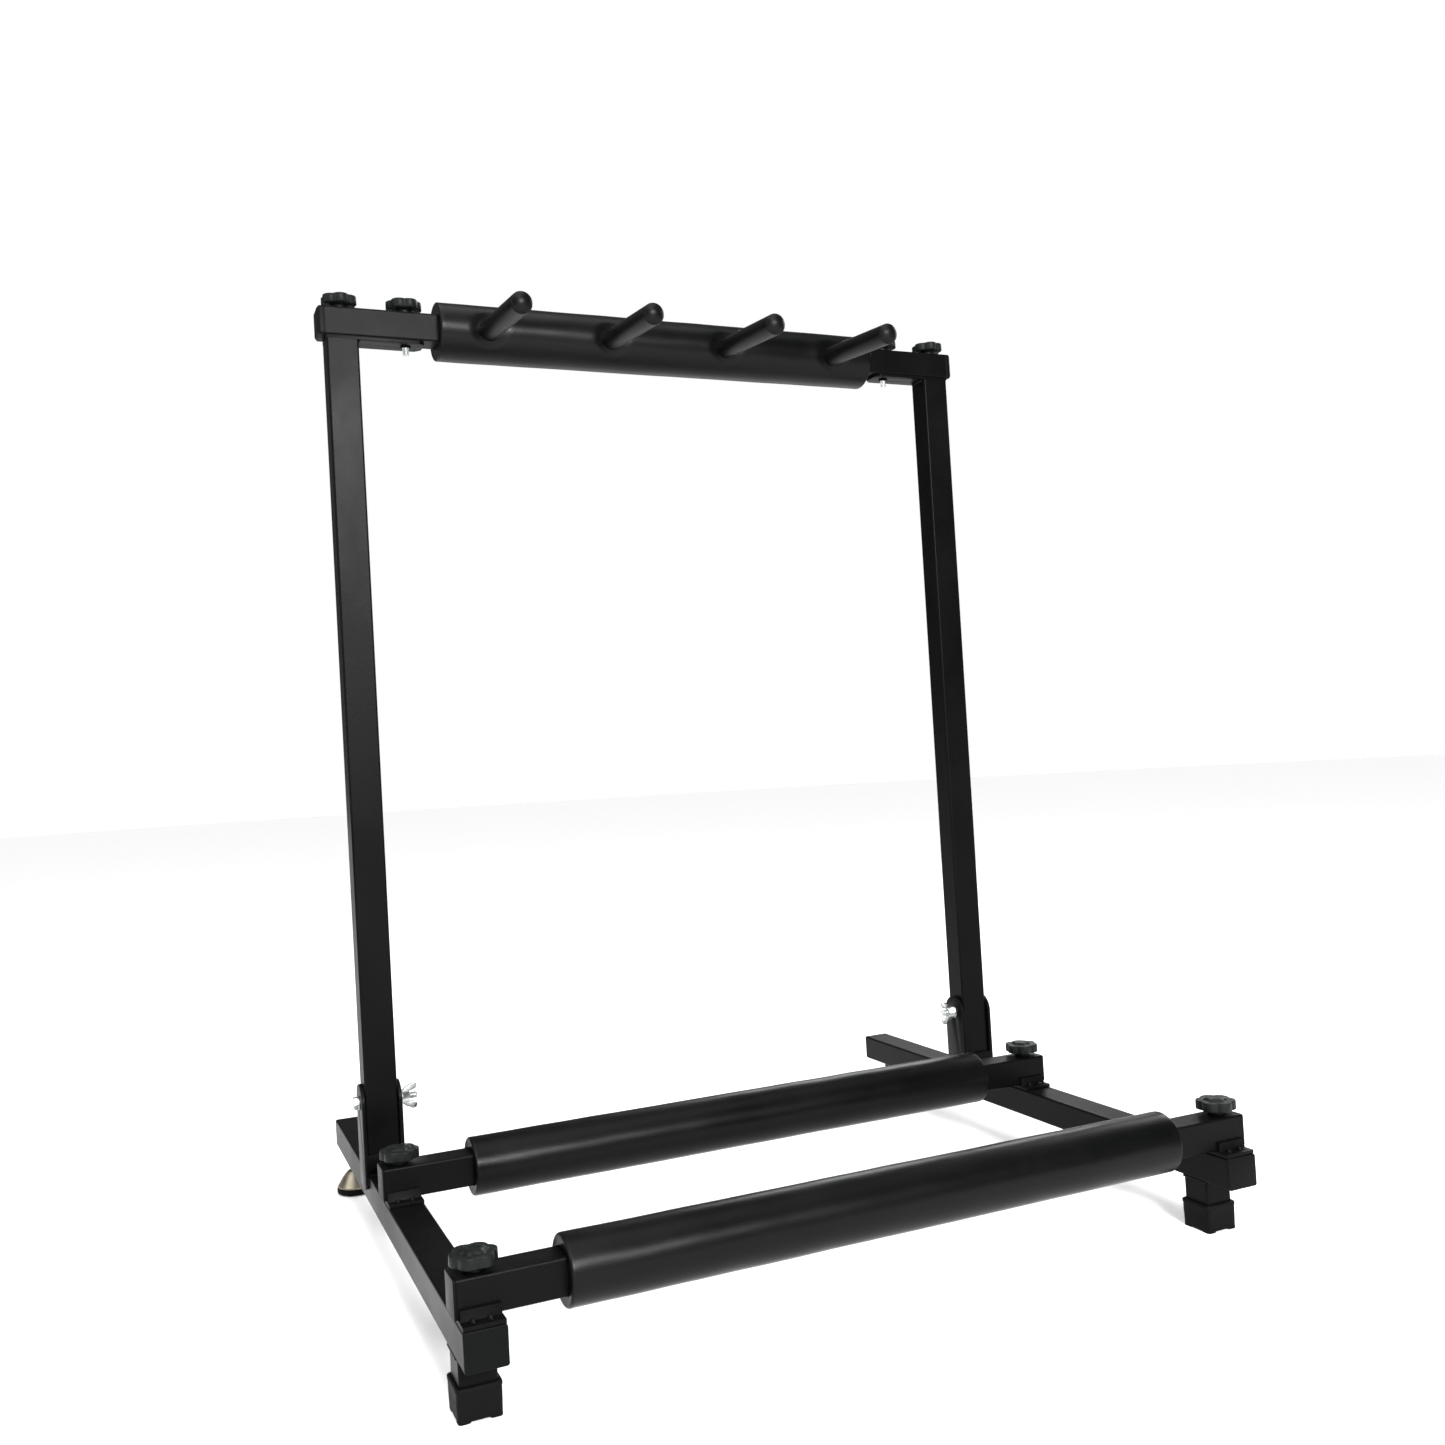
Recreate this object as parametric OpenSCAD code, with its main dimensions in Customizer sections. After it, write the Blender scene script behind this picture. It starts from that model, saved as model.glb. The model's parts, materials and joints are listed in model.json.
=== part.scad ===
// Folding rack for five guitars: two base tubes on legs and feet, two padded lower bars
// that carry the guitar bodies, and a hinged upper frame whose padded bar and four pegs
// hold the necks. Millimetres. X is the rack's width, -Y its front, +Z up.
// The origin is on the floor at the middle of the rack.

/* [Overall] */
// Width over the outer faces of the base tubes
rack_w = 630; // [560:5:760]
// Length of a base tube, plugs included
base_len = 570; // [540:5:640]
// Height from the floor to the top of the top bar
bar_top_z = 811; // [700:1:900]
// Height from the floor to the underside of the base tubes
leg_h = 41; // [36:1:60]

/* [Tubes] */
// Width of a base tube, along X
base_w = 28; // [27:0.5:32]
// Height of a base tube
base_h = 25; // [22:0.5:30]
// Side of the square crossbar tubes
bar_s = 25; // [22:0.5:28]
// Depth of an upright, along Y
upright_d = 25; // [22:0.5:28]
// Wall of every tube
wall = 1.5; // [1:0.1:2.5]
// Outer corner radius of every tube
corner_r = 1.8; // [1:0.1:3]

/* [Places along the rack] */
// From the front end of the base to the middle of the front bar
front_bar_in = 24.5; // [22:0.5:40]
// Distance between the middles of the two lower bars
bar_pitch = 258; // [240:1:270]
// Distance from the rear bar's middle to the uprights' middle
upright_back = 90; // [80:1:110]
// From the front end of the base to the middle of a front leg
leg_in = 40; // [36:1:60]
// From the rear end of the base to the middle of a rear foot
foot_in = 25; // [22:1:60]

/* [Padding] */
// Diameter of the foam on the lower bars
low_foam_d = 47; // [40:1:48]
// Diameter of the foam on the top bar
top_foam_d = 52; // [44:1:56]
// Bare length of a lower bar outside its foam, at each end
low_bare = 70; // [60:1:90]
// Bare length of the top bar outside its foam, at each end
top_bare = 97; // [94:1:105]

/* [Neck pegs] */
// Distance from one peg to the next
peg_pitch = 116; // [90:1:120]
// Diameter of a peg's sleeve
peg_d = 19; // [16:0.5:22]
// Length of a peg from the middle of the top bar to its tip
peg_len = 136; // [110:1:150]
// How far the pegs point below level, in degrees
peg_dip = 6; // [0:0.5:8]

/* [Hinges] */
// Height of the hinge bolt above the top of the base tube
hinge_up = 59; // [56:1:70]
// Diameter of the hinge bolts and the clamping studs
bolt_d = 6; // [5:0.5:7]
// Thickness of the bracket and saddle steel
plate_t = 3; // [2:0.5:4]
// Height of a bracket's front web above the base tube
web_h = 17; // [14:1:22]

/* [Knobs] */
// Diameter of a knob over its lobes
knob_d = 31; // [26:0.5:32]
// Height of a knob's lobed rim
rim_h = 7.5; // [6:0.5:9]
// Distance from the outer face to the middle of an end knob
knob_in = 14; // [13:0.5:16]
// Distance between the two knobs on each end of the top bar
knob_pair = 56; // [50:1:60]

/* [Hidden] */
$fn = 48;

steel_black = [0.16, 0.16, 0.16];
plastic_black = [0.11, 0.13, 0.12];
foam_black = [0.08, 0.08, 0.08];
rubber_black = [0.06, 0.06, 0.06];
zinc = [0.74, 0.75, 0.74];
nickel = [0.62, 0.6, 0.55];

gap = 0.3;                                  // between parts that turn past each other
run = 0.05;                                 // radial play of a stud or bolt in its thread
plug_t = 2;                                 // flange of a tube plug
plug_in = 14;                               // how far a plug reaches into its tube
half_w = rack_w / 2;
tube_x = half_w - base_w / 2;               // middle of a base tube
front_y = -base_len / 2;
front_bar_y = front_y + front_bar_in;
rear_bar_y = front_bar_y + bar_pitch;
upright_y = rear_bar_y + upright_back;
leg_y = front_y + leg_in;
foot_y = base_len / 2 - foot_in;
base_top = leg_h + base_h;
low_bar_z = base_top + plate_t;             // underside of the lower bars
low_axis_z = low_bar_z + bar_s / 2;
low_top = low_bar_z + bar_s;
top_bar_z = bar_top_z - bar_s;              // underside of the top bar
top_axis_z = top_bar_z + bar_s / 2;
upright_top = top_bar_z - plate_t;
upright_w = base_w - 2 * gap;
upright_foot = 5;                           // upright's end above the base tube
hinge_z = base_top + hinge_up;
knob_x = half_w - knob_in;
knob_inner_x = knob_x - knob_pair;
bolt_r = bolt_d / 2;
hole_r = bolt_r + 0.35;                     // clearance hole for a bolt or stud

cheek_r = upright_d / 2 + gap + plate_t;    // round top of a bracket cheek
cheek_drop = 12;                            // how far a cheek laps down the base tube
cheek_chamfer = 5;
web_front = upright_y - cheek_r;

cap_s = 30;                                 // rubber cap under a front leg
cap_h = 22;
cap_sole = 4;
leg_s = 25;

foot_r = 17.5;                              // metal cup of a rear foot
foot_neck_r = 7.5;
foot_stud_r = 4;
pad_h = 6;
cup_h = 15;
foot_stud_in = 13;                          // stud's reach into the base tube
insert_l = 10;
insert_flange = 1;

saddle_front = 11;                          // saddle plate ahead of its bar
lip_h = 7;
lip_t = 2.5;
rivet_dx = 5.5;
rivet_y = 5;                                // rivets ahead of the bar's front face
rivet_r = 2.7;

washer_t = 1.2;
washer_r = 6;
head_t = 4;
head_af = 10;
nut_flange = 1.5;                           // press-in nut under a top plate
nut_flange_r = 4.8;
nut_wall = 1.2;
stud_past = 8;                              // stud past the top plate
wing_hub_h = 7;
wing_span_r = 11.5;
wing_rise = 14;
wing_t = 2.2;
bolt_past = 15;                             // bolt past the inner cheek

top_plate_l = 85;
top_plate_chamfer = 5;
cap_out = 6.5;                              // end cap of the top bar
peg_rod_r = 4;
foam_end_r = 2;                             // round edge of a foam sleeve's end

hub_h = 4;                                  // knob's round foot under its lobes
core_r = 12.8;                              // knob at the grooves between its lobes
dome_r = 9;
dome_h = 2;
lobe_r = 6.6;
lobes = 6;
low_stud_l = bar_s + plate_t + wall + insert_l + 1;
top_stud_l = bar_s + plate_t + stud_past;

module box(from, to) {
    translate(from) cube([to[0] - from[0], to[1] - from[1], to[2] - from[2]]);
}

// A rectangle with round corners, centred.
module round_rect(w, h, r) {
    square([w - 2 * r, h], center = true);
    square([w, h - 2 * r], center = true);
    for (sx = [-1, 1], sy = [-1, 1])
        translate([sx * (w / 2 - r), sy * (h / 2 - r)]) circle(r, $fn = 24);
}

// The cross-section of a tube.
module tube_section(w, h) {
    difference() {
        round_rect(w, h, corner_r);
        square([w - 2 * wall, h - 2 * wall], center = true);
    }
}

// Tubes along each axis, centred on the origin.
module tube_x(w, h, l) {
    rotate([90, 0, 90]) linear_extrude(l, center = true) tube_section(w, h);
}
module tube_y(w, h, l) {
    rotate([90, 0, 0]) linear_extrude(l, center = true) tube_section(w, h);
}

// A cylinder along X that starts at x = from and ends at x = to.
module rod_x(r, from, to) {
    translate([from, 0, 0]) rotate([0, 90, 0]) cylinder(h = to - from, r = r);
}

// Everything made for the right side; s = 1 leaves it there and s = -1 puts it on the left.
module side(s) {
    if (s > 0) children();
    else mirror([1, 0, 0]) children();
}

module base_tube(s) {
    color(steel_black) side(s) difference() {
        translate([tube_x, 0, leg_h + base_h / 2]) tube_y(base_w, base_h, base_len - 2 * plug_t);
        for (y = [front_bar_y, rear_bar_y]) {
            translate([knob_x, y, base_top - wall - 1])
                cylinder(h = wall + 2, r = bolt_r + 1.5);
            for (dx = [-rivet_dx, rivet_dx])
                translate([tube_x + dx, y - bar_s / 2 - rivet_y, base_top - wall - 1])
                    cylinder(h = wall + 2, r = rivet_r / 2, $fn = 24);
        }
        translate([tube_x, foot_y, leg_h - 1]) cylinder(h = wall + 2, r = foot_stud_r + 1.5);
    }
}

// A plug in the mouth of a base tube; out is the way that it faces. Its spigot is two
// cheeks against the tube's sides, which leaves room for the saddle's rivets.
module base_plug(out) {
    translate([0, out * (base_len / 2 - plug_t), 0]) rotate([out * -90, 0, 0]) {
        linear_extrude(plug_t) round_rect(base_w, base_h, corner_r);
        translate([0, 0, -plug_in]) linear_extrude(plug_in) difference() {
            square([base_w - 2 * wall, base_h - 2 * wall], center = true);
            square([base_w - 4 * wall, base_h - 4 * wall], center = true);
            square([2 * (rivet_dx + rivet_r), base_h], center = true);
        }
    }
}

module base_end_plugs() {
    color(plastic_black)
        for (s = [-1, 1], out = [-1, 1])
            translate([s * tube_x, 0, leg_h + base_h / 2]) base_plug(out);
}

module front_leg(s) {
    color(steel_black) translate([s * tube_x, leg_y, cap_sole])
        linear_extrude(leg_h - cap_sole) tube_section(leg_s, leg_s);
}

module leg_cap(s) {
    color(rubber_black) translate([s * tube_x, leg_y, 0]) difference() {
        linear_extrude(cap_h) round_rect(cap_s, cap_s, 3);
        translate([0, 0, cap_sole]) linear_extrude(cap_h) round_rect(leg_s, leg_s, corner_r);
    }
}

// A threaded insert that hangs in a tube wall, with its flange on top at z = 0.
module insert(r, flange_r) {
    difference() {
        union() {
            translate([0, 0, -insert_l]) cylinder(h = insert_l, r = r + 1.5);
            translate([0, 0, -wall - insert_flange]) cylinder(h = insert_flange, r = flange_r);
        }
        translate([0, 0, -insert_l - 1]) cylinder(h = insert_l + 2, r = r + run);
    }
}

module foot_insert_set() {
    color(zinc)
        for (s = [-1, 1])
            translate([s * tube_x, foot_y, leg_h]) mirror([0, 0, 1]) insert(foot_stud_r, 7.5);
}

module foot(s) {
    color(nickel) translate([s * tube_x, foot_y, pad_h]) rotate_extrude() polygon([
        [0, 0], [foot_r, 0], [foot_r, 1.5], [foot_neck_r, cup_h], [foot_stud_r, cup_h],
        [foot_stud_r, leg_h - pad_h + foot_stud_in], [0, leg_h - pad_h + foot_stud_in]
    ]);
}

module foot_pad(s) {
    color(rubber_black) translate([s * tube_x, foot_y, 0]) rotate_extrude() polygon([
        [0, 0], [foot_r - 1, 0], [foot_r + 0.8, 2], [foot_r + 0.8, pad_h], [0, pad_h]
    ]);
}

// The plate between a lower bar and the base tube, with a lip up the bar's front face.
module saddle(s, bar_y) {
    bar_front = bar_y - bar_s / 2;
    color(steel_black) side(s) difference() {
        union() {
            box([tube_x - base_w / 2 + 0.5, bar_front - saddle_front, base_top],
                [tube_x + base_w / 2 - 0.5, bar_front + bar_s, low_bar_z]);
            box([tube_x - base_w / 2 + 1, bar_front - lip_t, low_bar_z],
                [tube_x + base_w / 2 - 1, bar_front, low_bar_z + lip_h]);
        }
        translate([knob_x, bar_y, base_top - 1]) cylinder(h = plate_t + 2, r = hole_r);
        for (dx = [-rivet_dx, rivet_dx])
            translate([tube_x + dx, bar_front - rivet_y, base_top - 1])
                cylinder(h = plate_t + 2, r = rivet_r / 2, $fn = 24);
    }
}

module saddle_rivets() {
    color(zinc)
        for (s = [-1, 1], y = [front_bar_y, rear_bar_y], dx = [-rivet_dx, rivet_dx])
            translate([s * tube_x + dx, y - bar_s / 2 - rivet_y, low_bar_z]) {
                intersection() {
                    translate([0, 0, -1.2]) sphere(r = rivet_r + 0.2);
                    cylinder(h = 3, r = rivet_r);
                }
                translate([0, 0, -plate_t - wall - 1])
                    cylinder(h = plate_t + wall + 1, r = rivet_r / 2, $fn = 24);
            }
}

module saddle_insert_set() {
    color(zinc)
        for (s = [-1, 1], y = [front_bar_y, rear_bar_y])
            translate([s * knob_x, y, base_top]) insert(bolt_r, bolt_r + 3);
}

module low_bar(y) {
    color(steel_black) difference() {
        translate([0, y, low_axis_z]) tube_x(bar_s, bar_s, rack_w);
        for (s = [-1, 1])
            translate([s * knob_x, y, low_bar_z - 1]) cylinder(h = bar_s + 2, r = hole_r);
    }
}

// Plugs of the lower bars: a flat flange and a short hollow spigot.
module bar_end_plugs() {
    spigot_l = 6;
    color(plastic_black)
        for (s = [-1, 1], y = [front_bar_y, rear_bar_y])
            translate([s * half_w, y, low_axis_z]) rotate([0, s * 90, 0]) {
                linear_extrude(plug_t) round_rect(bar_s, bar_s, corner_r);
                translate([0, 0, -spigot_l]) linear_extrude(spigot_l) difference() {
                    square(bar_s - 2 * wall, center = true);
                    square(bar_s - 4 * wall, center = true);
                }
            }
}

// A foam sleeve around a bar along X, with rounded ends.
module foam_sleeve(d, l, end_r) {
    rotate([0, 90, 0]) difference() {
        rotate_extrude() {
            translate([0, -l / 2 + end_r]) square([d / 2, l - 2 * end_r]);
            translate([0, -l / 2]) square([d / 2 - end_r, l]);
            for (z = [-1, 1])
                translate([d / 2 - end_r, z * (l / 2 - end_r)]) circle(end_r);
        }
        cube([bar_s, bar_s, l + 2], center = true);
    }
}

module low_foam(y) {
    color(foam_black) translate([0, y, low_axis_z])
        foam_sleeve(low_foam_d, rack_w - 2 * low_bare, foam_end_r);
}

// Two cheeks that straddle the base tube and the upright, joined by a low web in front.
module hinge_bracket(s) {
    inner = tube_x - base_w / 2;
    outer = tube_x + base_w / 2;
    low = base_top - cheek_drop;
    color(steel_black) side(s) {
        difference() {
            union() {
                for (x = [inner - plate_t, outer])
                    translate([x, upright_y, 0]) rotate([90, 0, 90]) linear_extrude(plate_t) {
                        translate([0, hinge_z]) circle(cheek_r);
                        polygon([
                            [-cheek_r, hinge_z], [-cheek_r, low + cheek_chamfer],
                            [-cheek_r + cheek_chamfer, low], [cheek_r - cheek_chamfer, low],
                            [cheek_r, low + cheek_chamfer], [cheek_r, hinge_z]
                        ]);
                    }
                box([inner - plate_t, web_front, base_top],
                    [outer + plate_t, web_front + plate_t, base_top + web_h]);
            }
            translate([0, upright_y, hinge_z])
                rod_x(bolt_r + 0.2, inner - plate_t - 1, outer + plate_t + 1);
        }
    }
}

module hinge_bolt(s) {
    inner = tube_x - base_w / 2 - plate_t;
    outer = tube_x + base_w / 2 + plate_t;
    color(zinc) side(s) translate([0, upright_y, hinge_z]) {
        rod_x(bolt_r, inner - bolt_past, outer + washer_t);
        translate([outer + washer_t, 0, 0]) rotate([0, 90, 0])
            cylinder(h = head_t, r = head_af / 2 / cos(30), $fn = 6);
    }
}

module hinge_washers() {
    inner = tube_x - base_w / 2 - plate_t;
    outer = tube_x + base_w / 2 + plate_t;
    color(zinc)
        for (s = [-1, 1], x = [inner - washer_t, outer])
            side(s) translate([0, upright_y, hinge_z]) difference() {
                rod_x(washer_r, x, x + washer_t);
                rod_x(bolt_r + 0.2, x - 1, x + washer_t + 1);
            }
}

// A wing nut whose seat is at the origin and whose wings rise towards +Z.
module wing_nut_shape() {
    difference() {
        union() {
            cylinder(h = wing_hub_h, r1 = 5.8, r2 = 4.8);
            for (a = [0, 180])
                rotate([0, 0, a]) rotate([90, 0, 0]) linear_extrude(wing_t, center = true) {
                    polygon([
                        [3.5, 1], [5.6, 1], [wing_span_r - 0.6, wing_rise - 5.5],
                        [wing_span_r - 5.2, wing_rise - 1.6], [3.5, wing_hub_h - 0.5]
                    ]);
                    translate([wing_span_r - 3.1, wing_rise - 3.4]) circle(3.1);
                }
        }
        translate([0, 0, -1]) cylinder(h = wing_rise + 2, r = bolt_r + run);
    }
}

module wing_nut(s) {
    seat = tube_x - base_w / 2 - plate_t - washer_t;
    color(zinc) side(s) translate([seat - gap / 3, upright_y, hinge_z]) rotate([0, -90, 0])
        wing_nut_shape();
}

module upright(s) {
    color(steel_black) side(s) difference() {
        translate([tube_x, upright_y, base_top + upright_foot])
            linear_extrude(upright_top - base_top - upright_foot)
                tube_section(upright_w, upright_d);
        translate([0, upright_y, hinge_z])
            rod_x(bolt_r + run, tube_x - base_w, tube_x + base_w);
    }
}

// The plate on an upright's top that the top bar lies on.
module top_plate(s) {
    inner = half_w - top_plate_l;
    outer = half_w - gap;
    h = upright_d / 2;
    color(steel_black) side(s) difference() {
        translate([0, upright_y, upright_top]) linear_extrude(plate_t) polygon([
            [outer, -h], [outer, h], [inner + top_plate_chamfer, h], [inner, h - top_plate_chamfer],
            [inner, -h + top_plate_chamfer], [inner + top_plate_chamfer, -h]
        ]);
        for (x = [knob_x, knob_inner_x])
            translate([x, upright_y, upright_top - 1])
                cylinder(h = plate_t + 2, r = bolt_r + nut_wall);
    }
}

// Round nuts pressed into the top plates from below.
module plate_nuts() {
    color(zinc)
        for (s = [-1, 1], x = [knob_x, knob_inner_x])
            translate([s * x, upright_y, upright_top]) difference() {
                union() {
                    translate([0, 0, -nut_flange]) cylinder(h = nut_flange, r = nut_flange_r);
                    cylinder(h = plate_t, r = bolt_r + nut_wall);
                }
                translate([0, 0, -nut_flange - 1])
                    cylinder(h = plate_t + nut_flange + 2, r = bolt_r + run);
            }
}

module top_bar() {
    color(steel_black) difference() {
        translate([0, upright_y, top_axis_z]) tube_x(bar_s, bar_s, rack_w);
        for (s = [-1, 1], x = [knob_x, knob_inner_x])
            translate([s * x, upright_y, top_bar_z - 1]) cylinder(h = bar_s + 2, r = hole_r);
    }
}

// A square plastic cap with a bevelled edge and a spigot inside the bar.
module top_cap(s) {
    rim = 4.5;
    spigot_l = 6;
    face_s = bar_s - 4;
    color(plastic_black) translate([s * half_w, upright_y, top_axis_z]) rotate([0, s * 90, 0]) {
        linear_extrude(rim) round_rect(bar_s, bar_s, corner_r);
        translate([0, 0, rim]) linear_extrude(cap_out - rim, scale = face_s / bar_s)
            square(bar_s - 0.8, center = true);
        translate([0, 0, -spigot_l]) linear_extrude(spigot_l) difference() {
            square(bar_s - 2 * wall, center = true);
            square(bar_s - 4 * wall, center = true);
        }
    }
}

// Puts a shape that points along +Z on peg number i, starting on the top bar's axis.
module on_peg(i) {
    translate([(i - 1.5) * peg_pitch, upright_y, top_axis_z]) rotate([90 + peg_dip, 0, 0])
        children();
}

// Everything behind the top bar's front face, where no peg reaches.
module behind_bar_front() {
    box([-half_w, upright_y - bar_s / 2, top_axis_z - 60],
        [half_w, upright_y + 60, top_axis_z + 60]);
}

module top_foam() {
    color(foam_black) difference() {
        translate([0, upright_y, top_axis_z])
            foam_sleeve(top_foam_d, rack_w - 2 * top_bare, foam_end_r);
        for (i = [0:3])
            on_peg(i) cylinder(h = top_foam_d, r = peg_d / 2);
    }
}

module peg_rods() {
    color(steel_black) difference() {
        for (i = [0:3])
            on_peg(i) cylinder(h = peg_len - 14, r = peg_rod_r);
        behind_bar_front();
    }
}

module peg_sleeve(i) {
    r = peg_d / 2;
    color(rubber_black) difference() {
        on_peg(i) difference() {
            union() {
                cylinder(h = peg_len - r, r = r);
                translate([0, 0, peg_len - r]) sphere(r = r);
            }
            cylinder(h = peg_len - 14, r = peg_rod_r);
        }
        behind_bar_front();
    }
}

module knob_shape() {
    difference() {
        union() {
            cylinder(h = hub_h + rim_h, r = core_r);
            for (i = [0:lobes - 1])
                rotate([0, 0, i * 360 / lobes]) translate([knob_d / 2 - lobe_r, 0, hub_h])
                    cylinder(h = rim_h, r = lobe_r);
            translate([0, 0, hub_h + rim_h]) cylinder(h = dome_h, r1 = dome_r, r2 = dome_r - 3);
        }
        translate([0, 0, -1]) cylinder(h = hub_h + rim_h, r = bolt_r);
    }
}

module knob(x, y, z) {
    color(plastic_black) translate([x, y, z + 0.1]) knob_shape();
}

// The stud moulded into a knob that stands on z and clamps l below it.
module stud(x, y, z, l) {
    color(zinc) translate([x, y, z + 0.1 - l]) cylinder(h = l + hub_h + rim_h - 1, r = bolt_r);
}

base_tube(-1);  // base_tube_left
base_tube(1);  // base_tube_right
base_end_plugs();
front_leg(-1);  // front_leg_left
front_leg(1);  // front_leg_right
leg_cap(-1);  // leg_cap_left
leg_cap(1);  // leg_cap_right
foot_insert_set();
foot(-1);  // foot_left
foot(1);  // foot_right
foot_pad(-1);  // foot_pad_left
foot_pad(1);  // foot_pad_right
saddle(-1, front_bar_y);  // saddle_front_left
saddle(1, front_bar_y);  // saddle_front_right
saddle(-1, rear_bar_y);  // saddle_rear_left
saddle(1, rear_bar_y);  // saddle_rear_right
saddle_rivets();
saddle_insert_set();
low_bar(front_bar_y);  // front_bar
low_bar(rear_bar_y);  // rear_bar
bar_end_plugs();
low_foam(front_bar_y);  // front_foam
low_foam(rear_bar_y);  // rear_foam
hinge_bracket(-1);  // hinge_bracket_left
hinge_bracket(1);  // hinge_bracket_right
hinge_bolt(-1);  // hinge_bolt_left
hinge_bolt(1);  // hinge_bolt_right
hinge_washers();
wing_nut(-1);  // wing_nut_left
wing_nut(1);  // wing_nut_right
upright(-1);  // upright_left
upright(1);  // upright_right
top_plate(-1);  // top_plate_left
top_plate(1);  // top_plate_right
plate_nuts();
top_bar();
top_cap(-1);  // top_cap_left
top_cap(1);  // top_cap_right
top_foam();
peg_rods();
peg_sleeve(0);  // peg_sleeve_1
peg_sleeve(1);  // peg_sleeve_2
peg_sleeve(2);  // peg_sleeve_3
peg_sleeve(3);  // peg_sleeve_4
knob(-knob_x, front_bar_y, low_top);  // knob_front_left
knob(knob_x, front_bar_y, low_top);  // knob_front_right
knob(-knob_x, rear_bar_y, low_top);  // knob_rear_left
knob(knob_x, rear_bar_y, low_top);  // knob_rear_right
knob(-knob_x, upright_y, bar_top_z);  // knob_top_left
knob(knob_x, upright_y, bar_top_z);  // knob_top_right
knob(-knob_inner_x, upright_y, bar_top_z);  // knob_top_left_inner
knob(knob_inner_x, upright_y, bar_top_z);  // knob_top_right_inner
stud(-knob_x, front_bar_y, low_top, low_stud_l);  // stud_front_left
stud(knob_x, front_bar_y, low_top, low_stud_l);  // stud_front_right
stud(-knob_x, rear_bar_y, low_top, low_stud_l);  // stud_rear_left
stud(knob_x, rear_bar_y, low_top, low_stud_l);  // stud_rear_right
stud(-knob_x, upright_y, bar_top_z, top_stud_l);  // stud_top_left
stud(knob_x, upright_y, bar_top_z, top_stud_l);  // stud_top_right
stud(-knob_inner_x, upright_y, bar_top_z, top_stud_l);  // stud_top_left_inner
stud(knob_inner_x, upright_y, bar_top_z, top_stud_l);  // stud_top_right_inner
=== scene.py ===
# %% [markdown]
# A folding rack for five guitars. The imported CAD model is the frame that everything
# else hangs on: it says where each tube, bolt and knob is, and which of them move.
# Loading it first means that no size has to be typed twice.

# %% Load the frame
import json
import math

import bmesh
import bpy
from mathutils import Matrix, Vector, noise


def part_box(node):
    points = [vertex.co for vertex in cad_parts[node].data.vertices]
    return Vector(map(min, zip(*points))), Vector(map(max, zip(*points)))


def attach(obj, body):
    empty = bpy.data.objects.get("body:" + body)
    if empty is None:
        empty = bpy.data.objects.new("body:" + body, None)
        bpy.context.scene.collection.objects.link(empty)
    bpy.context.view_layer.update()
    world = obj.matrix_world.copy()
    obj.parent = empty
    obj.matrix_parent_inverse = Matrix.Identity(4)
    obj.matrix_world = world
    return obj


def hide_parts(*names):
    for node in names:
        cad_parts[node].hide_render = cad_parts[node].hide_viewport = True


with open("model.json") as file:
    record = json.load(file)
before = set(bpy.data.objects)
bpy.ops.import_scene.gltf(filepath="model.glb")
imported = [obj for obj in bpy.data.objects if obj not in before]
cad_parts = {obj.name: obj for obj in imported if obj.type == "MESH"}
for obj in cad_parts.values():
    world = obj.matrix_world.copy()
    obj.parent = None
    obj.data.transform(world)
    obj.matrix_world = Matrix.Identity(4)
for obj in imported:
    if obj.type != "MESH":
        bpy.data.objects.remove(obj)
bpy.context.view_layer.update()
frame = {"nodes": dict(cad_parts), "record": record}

# %% [markdown]
# The rack is seen from a little left of its middle and from about half its height, as
# somebody sitting on the floor in front of it would see it. A camera's turn is easiest
# to follow as three turns in a row: towards the right, then up, then a slight lean.

# %% Camera
camera = bpy.data.objects.new("camera", bpy.data.cameras.new("camera"))
bpy.context.scene.collection.objects.link(camera)
bpy.context.scene.camera = camera
camera.data.lens = 33.27
camera.data.clip_start = 0.01
heading = Matrix.Rotation(math.radians(-23.66), 4, "Z")
tilt = Matrix.Rotation(math.radians(90 + 1.43), 4, "X")
lean = Matrix.Rotation(math.radians(-3.32), 4, "Z")
camera.matrix_world = Matrix.Translation((-0.478, -1.098, 0.4035)) @ heading @ tilt @ lean
print("camera at", [round(v, 3) for v in camera.matrix_world.translation])

# %% [markdown]
# The rack's drawing is in millimetres, so the shapes below are too, and one factor
# turns them into Blender's metres as a mesh is made. Places come from the boxes of
# the CAD nodes.

# %% Lengths and places
MM = 0.001


def mm(x, y, z):
    """A point given in millimetres."""
    return Vector((x, y, z)) * MM


def middle(node):
    """The middle of a CAD node's box."""
    low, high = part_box(node)
    return (low + high) / 2


def size(node):
    """The size of a CAD node's box in millimetres."""
    low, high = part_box(node)
    return (high - low) / MM


top_bar_mid = middle("top_bar")
hinge_mid = {side: middle(f"hinge_bolt_{side}") for side in ("left", "right")}
SIDES = {"left": -1, "right": 1}
print("top bar at", [round(v, 4) for v in top_bar_mid])

# %% [markdown]
# Every finish shares a few effects. Cast and sprayed surfaces have a fine grain that
# only shows in a highlight; handling leaves patches that are a little shinier than the
# rest; and dust settles on what faces up. Each effect is a node group that gives out
# a plain value, and the shader itself stays in the material.

# %% Node helpers


def new_group(name, inputs, outputs):
    """A shader node group with float inputs {name: default} and outputs {name: type}."""
    group = bpy.data.node_groups.new(name, "ShaderNodeTree")
    for socket, value in inputs.items():
        made = group.interface.new_socket(socket, in_out="INPUT", socket_type="NodeSocketFloat")
        made.default_value = value
    for socket, kind in outputs.items():
        group.interface.new_socket(socket, in_out="OUTPUT", socket_type=kind)
    return group, group.nodes.new("NodeGroupInput"), group.nodes.new("NodeGroupOutput")


def add_node(tree, kind, values=None, **settings):
    """A node with its settings and the values of its unlinked inputs."""
    made = tree.nodes.new(kind)
    for key, value in settings.items():
        setattr(made, key, value)
    for key, value in (values or {}).items():
        made.inputs[key].default_value = value
    return made


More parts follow.
